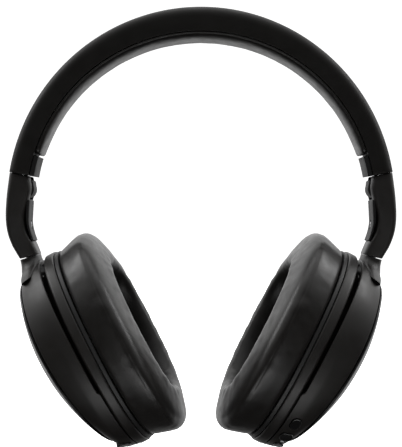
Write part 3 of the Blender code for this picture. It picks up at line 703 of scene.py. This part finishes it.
def shell_profile(angle):
    """The shell wall's stations at one place round the oval; above the hook the wall is cut back."""
    above = max(on_superellipse(*SHELL_OVAL, OVAL_POWER, angle)[0] - HOOK_Z, 0.0)
    t = min(above / HOOK_LENGTH, 1.0)
    slot = HOOK_EDGE + (SLOT_EDGE - HOOK_EDGE) * min(above / SLOT_LENGTH, 1.0)
    edge = SHELL_EDGE + (slot - SHELL_EDGE) * t * t * (3 - 2 * t)
    share = (edge - SHELL_BEND) / (SHELL_EDGE - SHELL_BEND)
    outer = lerp((47.3, 38.6, 0.01, 0.3), (48.4, 39.6, 0.0, 0.0), share)
    inner = lerp((45.0, 36.4, 0.01, 0.3), (46.4, 37.6, 0.0, 0.0), share)
    return filleted([
        (-16.9, 43.2, 35.0, CAP_SLANT, CAP_BOW, 0.5), (-15.4, 45.4, 36.9, 0.035, 2.0, 2.2),
        (SHELL_BEND, 47.3, 38.6, 0.01, 0.3, 1.4), (edge, *outer, 0.45), (edge, *inner, 0.35),
        (SHELL_BEND, 45.0, 36.4, 0.01, 0.3, 0.6), (-14.4, 42.9, 34.6, 0.035, 2.0, 1.0),
        (-16.9, 40.4, 32.4, CAP_SLANT, CAP_BOW, 0.3),
    ], steps=4, closed=True)


def shell_turns():
    """Turns round the oval, closer together near the two hooks."""
    steps = [HOOK_TURN + step * 0.5 for step in range(-7, 8)]
    extra = [radians(side * step) % (2 * pi) for side in (1, -1) for step in steps]
    spread = [turn for turn in TURNS if all(abs(turn - other) > radians(0.9) for other in extra)]
    return sorted(spread + extra)


def edge_frame(angle):
    """A frame on the shell's outer surface: z out of the shell, x to the head, y along the edge."""
    half_height, half_width = CONTROL_OVAL
    c, s = cos(angle), sin(angle)
    z = -half_height * abs(c) ** (2 / OVAL_POWER)
    y = -half_width * abs(s) ** (2 / OVAL_POWER)
    power = OVAL_POWER - 1
    lean = atan2(-(abs(y) / half_width) ** power / half_width, -(abs(z) / half_height) ** power / half_height)
    turned = Matrix.Rotation(-lean, 4, "X") @ Matrix.Rotation(-CONTROL_TAPER, 4, "Y")
    return Matrix.Translation((CONTROL_X, y, z)) @ turned


def add_outer_shells():
    turns = shell_turns()
    columns = [[oval_point(station, angle) for station in shell_profile(angle)] for angle in turns]
    wall = skin([list(ring) for ring in zip(*columns)], closed=True)
    wall = join(wall, loft(smooth_path(NECK, 6), 2.8))
    to_cup = CUP.inverted() @ swivel_frame()
    steps = ((-16.0, 3.8), (-9.4, 3.8), (-9.4, 2.7), (4.0, 2.7))
    bore = skin([[Vector((a, b, z)) for a, b in circle(radius, 32)] for z, radius in steps])
    wall = cut(wall, move(bore, to_cup))
    for side in SIDES:
        holes = []
        for button_side, angle, half_x, half_y in BUTTONS.values():
            if button_side == side:
                hole = prism(rounded(half_x + 0.28, half_y + 0.28, 2.6, 40), "Z", -5.0, 4.0)
                holes.append(move(hole, edge_frame(radians(angle))))
        if side == "left":
            holes.append(move(prism(rounded(1.9, 4.75, 4.0, 40), "Z", -5.0, 4.0), edge_frame(0.0)))
        else:
            holes.append(move(prism(circle(1.1, 24), "Z", -5.0, 4.0), edge_frame(radians(LIGHT_ANGLE))))
        shell = cut(wall.copy(), together(holes))
        add("shell", move(shell, CUP), "shell_{}", "shell_plastic", ("outer_shell_{}",), sides=(side,))
    wall.free()


def add_cap():
    cap = ovals([
        (-22.5, 1.0, 0.9, CAP_BOW, 0), (-21.8, 17.0, 13.8, CAP_BOW, 6.0),
        (-20.1, 27.0, 21.7, CAP_BOW, 5.0), (-18.2, 36.0, 28.8, CAP_BOW, 1.0),
        (-15.9, 38.3, 30.5, CAP_BOW, 0.4), (-15.9, 39.9, 32.0, CAP_BOW, 0.4),
        (-17.4, 40.0, 32.1, CAP_BOW, 0.2), (-17.45, 42.7, 34.55, CAP_BOW, 0.25),
        (-18.3, 42.4, 34.3, CAP_BOW, 0.6), (-20.2, 35.5, 28.6, CAP_BOW, 5.0),
        (-22.3, 25.5, 20.6, CAP_BOW, 5.0), (-23.7, 16.3, 13.2, CAP_BOW, 4.0),
        (-24.2, 9.0, 7.3, CAP_BOW, 3.0), (-24.35, 1.0, 0.9, CAP_BOW, 0),
    ], steps=6, slant=CAP_SLANT)
    add("cap", move(cap, CUP), "shell_{}", "cap_plastic", ("outer_cap_{}",), sharp=50.0)


def add_controls():
    for name, (side, angle, half_x, half_y) in BUTTONS.items():
        dish = 0.16 if name == "power_button" else 0.0
        profile = filleted([(-3.2, 1.0, 0), (0.5, 1.0, 0.34), (0.5, 0.66, 0.2), (0.5 - dish, 0.40, 0.2),
                            (0.5 - dish, 0.1, 0)], steps=5)
        rings = []
        for z, scale in profile:
            rings.append([Vector((x, y, z)) for x, y in rounded(half_x * scale, half_y * scale, 2.6, 40)])
        button = move(skin(rings), CUP @ edge_frame(radians(angle)))
        add(name, button, name, "gloss_plastic", (name,), sides=(side,))
    profile = filleted([(-4.9, 0.0, 0), (-0.1, 0.0, 0.1), (-0.1, 0.35, 0.1), (-4.0, 0.35, 0)], steps=3)
    rings = []
    for z, inset in profile:
        rings.append([Vector((x, y, z)) for x, y in rounded(1.6 - inset, 4.45 - inset, 4.0, 40)])
    port = join(skin(rings), prism(rounded(0.33, 3.0, 8.0, 20), "Z", -4.4, -0.7))
    add("port", move(port, CUP @ edge_frame(0.0)), "shell_{}", "steel", ("charge_port",), sides=("left",))


# ---------------------------------------------------------------------------------------- ear cup

def add_cup():
    housing = ovals([
        (-14.0, 35.6, 27.6, 0, 0), (-13.0, 37.3, 29.3, 0, 0.8), (-6.6, 43.4, 34.8, 0, 0.6),
        (-5.8, 47.9, 39.2, 0, 0.3), (-5.0, 48.7, 40.0, 0, 0.5), (-1.3, 48.7, 40.0, 0, 0.4),
        (-0.9, 48.3, 39.6, 0, 0.2), (-0.9, 42.7, 34.1, 0, 0.3), (-6.0, 41.7, 33.1, 0, 1.0),
        (-12.2, 35.4, 27.4, 0, 0),
    ])
    for turn in (pi / 2, -pi / 2):
        at_pin = Matrix.Translation((-9.5, 0.0, TILT_Z)) @ Matrix.Rotation(turn, 4, "X")
        housing = cut(housing, move(prism(circle(1.6, 24), "Z", 25.0, 34.0), at_pin))
    add("housing", move(housing, CUP), "cup_{}", "shell_plastic", ("cup_housing_{}",))

    carrier = ovals([(-0.6, 47.9, 39.2, 0, 0.2), (1.1, 47.9, 39.2, 0, 0.2), (1.1, 33.0, 24.6, 0, 0.2),
                     (-0.6, 33.0, 24.6, 0, 0.2)], closed=True)
    add("carrier", move(carrier, CUP), "cup_{}", "inner_plastic", ("pad_carrier_{}",))
    add_pad()

    cloth = ovals([(1.5, 30.4, 21.6, 0, 0), (2.0, 30.2, 21.4, 0, 0.1), (2.4, 26.0, 17.5, 0, 3.0),
                   (2.9, 12.0, 8.0, 0, 4.0), (3.0, 2.0, 1.5, 0, 0)], steps=3)
    add("scrim", move(cloth, CUP), "cup_{}", "scrim_cloth", ("pad_scrim_{}",))


# The pad's section, as (depth, half height, half width), from the carrier round to the opening
PAD_SECTION = (
    (1.4, 47.3, 38.6), (3.4, 47.9, 39.2), (6.0, 48.6, 39.9), (9.0, 49.6, 40.9), (11.6, 50.2, 41.5),
    (13.2, 50.5, 41.8), (13.7, 50.25, 41.55), (14.2, 50.6, 41.9), (15.7, 50.0, 41.3),
    (16.9, 48.8, 40.1), (17.8, 46.8, 38.1), (18.4, 44.2, 35.5), (19.1, 41.2, 32.5), (19.9, 38.2, 29.5),
    (20.7, 35.6, 26.9), (21.1, 33.8, 25.1), (20.4, 32.2, 23.5), (18.2, 31.2, 22.5), (14.0, 30.8, 22.1),
    (9.4, 30.8, 22.1), (5.4, 30.8, 22.1), (2.8, 31.4, 22.7), (1.4, 34.0, 25.4), (1.3, 38.0, 29.4),
    (1.3, 42.5, 33.8),
)
SEAM = (13.7, 50.25, 41.55)


def oval_reach(point, half_height, half_width):
    """How far out a point is, as a share of an oval."""
    total = (abs(point.z) / half_height) ** OVAL_POWER + (abs(point.y) / half_width) ** OVAL_POWER
    return total ** (1 / OVAL_POWER)


def pad_depth(point):
    """How deep the leather's creases are: deepest beside the seam and round the opening's edge."""
    x, reach = point.x, oval_reach(point, 50.0, 41.0)
    if x < 2.0:
        return 0.0
    beside_seam = max(0.0, 1.0 - abs(x - SEAM[0]) / 4.0) if reach > 0.9 else 0.0
    round_opening = max(0.0, 1.0 - abs(reach - 0.68) / 0.14)
    return 0.08 + 0.16 * beside_seam + 0.26 * round_opening


def pad_held(point):
    """The pad is held along its base, along the seam and low down in its opening."""
    x, reach = point.x, oval_reach(point, *SEAM[1:])
    return x < 2.9 or (abs(x - SEAM[0]) < 0.3 and reach > 0.97) or (x < 9.0 and reach < 0.7)


def add_pad():
    turns = [2 * pi * (i + 0.5) / 96 for i in range(96)]
    pad = skin([[oval_point((*station, 0.0, 0.0), angle) for angle in turns] for station in PAD_SECTION],
               closed=True)
    pad = subdivided(puffed(pad, pad_held, 0.8))
    pad = crease(pad, pad_depth, (0.10, 0.22, 0.22), 7.7)
    add("pad", move(pad, CUP), "cup_{}", "leatherette", ("ear_pad_{}",), sharp=180.0)


# ------------------------------------------------------------------------- the rest, and the studio

CARRIED_OVER = {
    "steel": ("headband_spring", "detent_spring_{}", "slider_strip_{}", "fold_pin_{}", "swivel_shaft_{}",
              "shaft_clip_{}", "tilt_pin_front_{}", "tilt_pin_rear_{}", "driver_magnet_{}"),
    "inner_plastic": ("cushion_base", "link_wire", "chassis_plate_{}", "baffle_{}", "driver_frame_{}"),
    "diaphragm_film": ("diaphragm_{}",),
    "battery_foil": ("battery",),
    "circuit_board": ("circuit_board",),
    "light_pipe": ("status_light",),
}


def finish_cad_nodes():
    """The CAD nodes that stay as they are get the same kind of finishes."""
    for look, names in CARRIED_OVER.items():
        for name in sorted({name.format(side) for name in names for side in SIDES}):
            for material_slot in frame["nodes"][name].material_slots:
                material_slot.material = LOOKS[look]


FLOOR_Z, FLOOR_RADIUS, SURROUND_RADIUS = -0.27, 6.0, 6.5            # metres
CAMERA_LENS, CAMERA_DISTANCE, CAMERA_RISE = 146.8, 0.85, 0.0016
SKY_SLOPE, SKY_LEVEL, SKY_LEAST = (0.0, 0.60, 1.05), 0.38, 0.03     # brighter above and behind
LAMPS = {       # place, aim, size and power
    "soft_top": ((0.0, 0.05, 0.9), (0.0, 0.0, -0.10), (0.7, 0.5), 1.5),
    "soft_left": ((-0.95, 0.05, 0.55), (0.0, 0.0, -0.12), (0.5, 0.5), 4.0),
    "soft_right": ((0.95, 0.05, 0.55), (0.0, 0.0, -0.12), (0.5, 0.5), 4.0),
    "low_fill": ((0.0, -0.75, -0.75), (0.0, 0.0, -0.12), (1.0, 0.4), 3.2),
}


def add_light(name, place, aim, size, power):
    lamp = bpy.data.lights.new(name, "AREA")
    lamp.shape, lamp.size, lamp.size_y = "RECTANGLE", *size
    lamp.energy = power
    thing = bpy.data.objects.new(name, lamp)
    thing.location = place
    thing.rotation_euler = (Vector(aim) - Vector(place)).to_track_quat("-Z", "Y").to_euler()
    bpy.context.collection.objects.link(thing)


def add_stage():
    """A wide pale floor below the hanging headphones, inside a white surround; neither lights them."""
    bm = bmesh.new()
    turns = [2 * pi * i / 64 for i in range(64)]
    bm.faces.new([bm.verts.new((FLOOR_RADIUS * cos(a), FLOOR_RADIUS * sin(a), FLOOR_Z)) for a in turns])
    floor = new_object("studio_floor", bm)
    bm = bmesh.new()
    bmesh.ops.create_uvsphere(bm, u_segments=48, v_segments=24, radius=SURROUND_RADIUS)
    surround = new_object("studio_surround", bm)
    for thing, shade, glow in ((floor, 0.88, 1.0), (surround, 0.5, 1.05)):
        paper = make_material(
            thing.name + "_paper", (shade,) * 3, (shade + 0.03,) * 3, (0.85, 0.95),
            (("noise", 40.0, 0.0005, 0.05, EVEN),), blotch=3.0,
            Emission_Color=(1.0, 1.0, 1.0, 1.0), Emission_Strength=glow)
        thing.data.materials.append(paper)
        thing.visible_diffuse = thing.visible_glossy = thing.visible_shadow = False


def add_camera():
    camera = bpy.data.objects.new("camera", bpy.data.cameras.new("camera"))
    camera.data.lens, camera.data.sensor_width = CAMERA_LENS, 36.0
    camera.data.clip_start, camera.data.clip_end = 0.01, 20.0
    middle = (cad_box[0][2] + cad_box[1][2]) / 2
    camera.location = (0.0, -CAMERA_DISTANCE, middle + CAMERA_RISE)
    camera.rotation_euler = (pi / 2, 0.0, 0.0)
    bpy.context.collection.objects.link(camera)
    bpy.context.scene.camera = camera


def light_studio():
    scene = bpy.context.scene
    scene.view_settings.view_transform = "Standard"
    world = bpy.data.worlds.new("studio")
    world.use_nodes = True
    place = node(world, "ShaderNodeTexCoord")
    towards = node(world, "ShaderNodeVectorMath", operation="DOT_PRODUCT")
    towards.inputs[1].default_value = SKY_SLOPE
    link(world, place, "Generated", towards, 0)
    level = node(world, "ShaderNodeMath", operation="ADD")
    level.inputs[1].default_value = SKY_LEVEL
    link(world, towards, "Value", level, 0)
    least = node(world, "ShaderNodeMath", operation="MAXIMUM")
    least.inputs[1].default_value = SKY_LEAST
    link(world, level, "Value", least, 0)
    sky = world.node_tree.nodes["Background"]
    sky.inputs["Color"].default_value = (1.0, 1.0, 1.0, 1.0)
    link(world, least, "Value", sky, "Strength")
    scene.world = world
    for name, settings in LAMPS.items():
        add_light(name, *settings)


add_camera()
add_stage()
light_studio()
add_headband()
add_sleeve()
add_knuckle()
add_arm()
add_outer_shells()
add_cap()
add_controls()
add_cup()
finish_cad_nodes()
